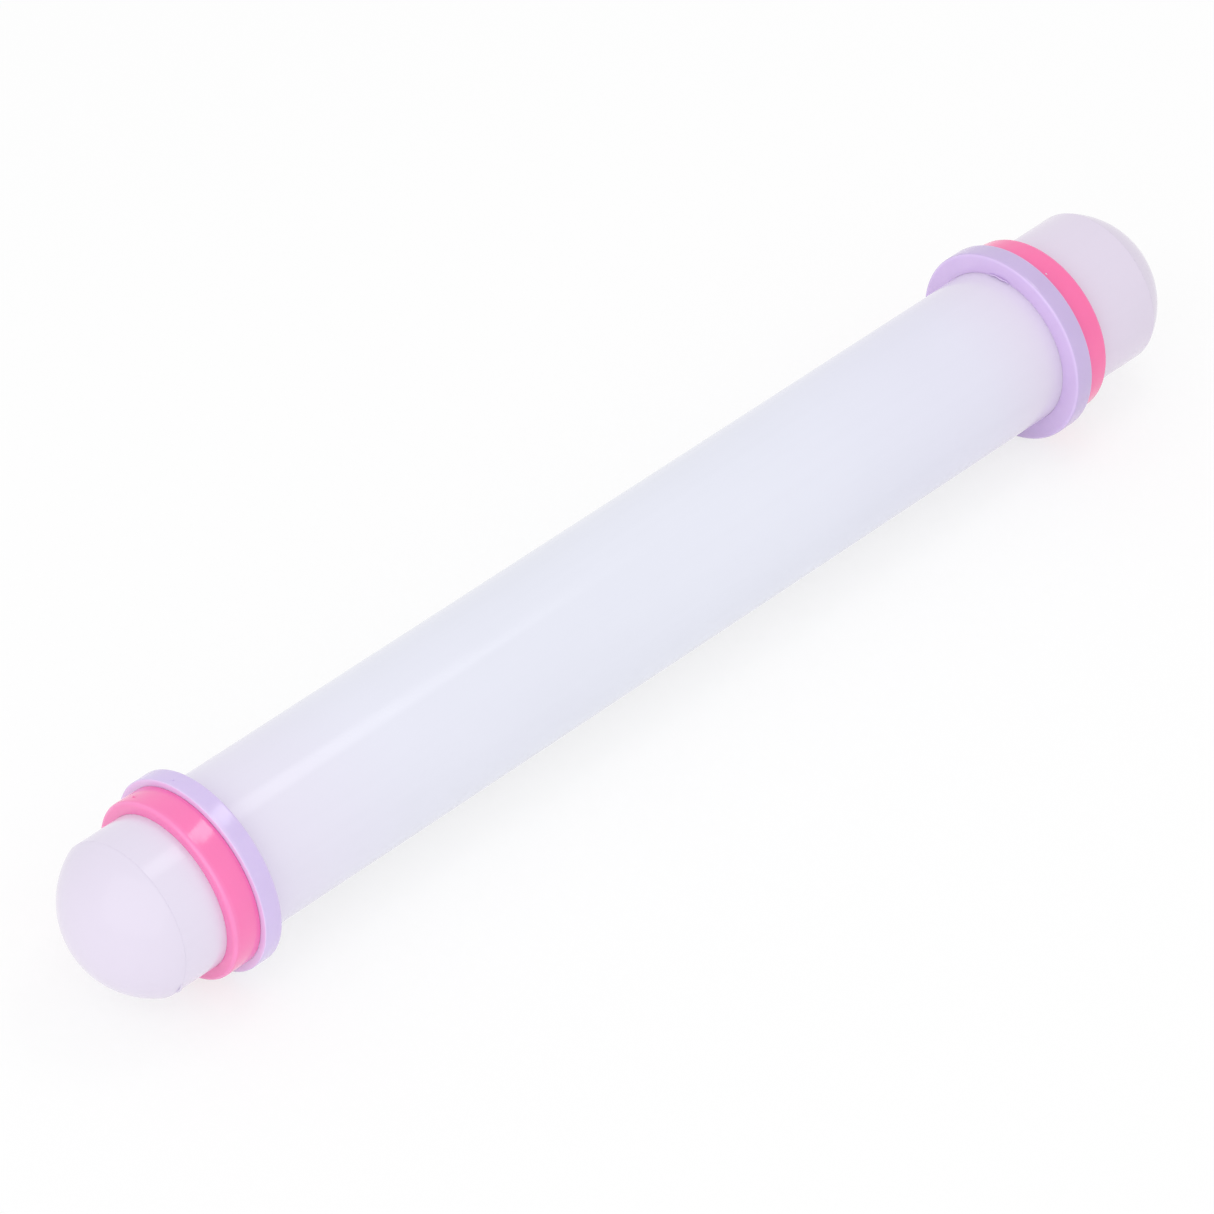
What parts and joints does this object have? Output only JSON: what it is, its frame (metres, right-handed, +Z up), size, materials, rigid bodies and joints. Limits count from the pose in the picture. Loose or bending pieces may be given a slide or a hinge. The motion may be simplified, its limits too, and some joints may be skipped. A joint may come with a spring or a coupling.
{
  "type": "rolling pin",
  "caption": "Small hollow plastic rolling pin with domed push-in end caps and a thin and a thick slide-on thickness guide ring at each end.",
  "frame": {"origin": "on the pin's axis at half its length, which is the centre of the whole part's box", "axes": "+X along the pin from its left to its right end, +Z up; the thick guide rings' lowest facets face -Z"},
  "size_m": [0.228, 0.0324, 0.0324],
  "materials": {
    "milky_plastic": "milky translucent white plastic with a faint lavender tint, satin to soft gloss",
    "pink_plastic": "moulded opaque bright pink, soft gloss",
    "lilac_plastic": "moulded slightly translucent pale lilac, soft gloss"
  },
  "bodies": {
    "roller": {"roller_tube": "milky_plastic", "end_cap_left": "milky_plastic", "end_cap_right": "milky_plastic"},
    "thick_ring_left": {"thick_guide_ring_left": "lilac_plastic"},
    "thin_ring_left": {"thin_guide_ring_left": "pink_plastic"},
    "thick_ring_right": {"thick_guide_ring_right": "lilac_plastic"},
    "thin_ring_right": {"thin_guide_ring_right": "pink_plastic"}
  },
  "joints": [
    {"name": "thick_ring_left_slide", "type": "slide", "parent": "roller", "child": "thick_ring_left", "axis": [1, 0, 0], "range_m": [-0.034, 0.088]},
    {"name": "thin_ring_left_slide", "type": "slide", "parent": "thick_ring_left", "child": "thin_ring_left", "axis": [-1, 0, 0], "range_m": [0, 0.12]},
    {"name": "thick_ring_right_slide", "type": "slide", "parent": "roller", "child": "thick_ring_right", "axis": [-1, 0, 0], "range_m": [-0.04, 0.083]},
    {"name": "thin_ring_right_slide", "type": "slide", "parent": "thick_ring_right", "child": "thin_ring_right", "axis": [1, 0, 0], "range_m": [0, 0.12]}
  ]
}
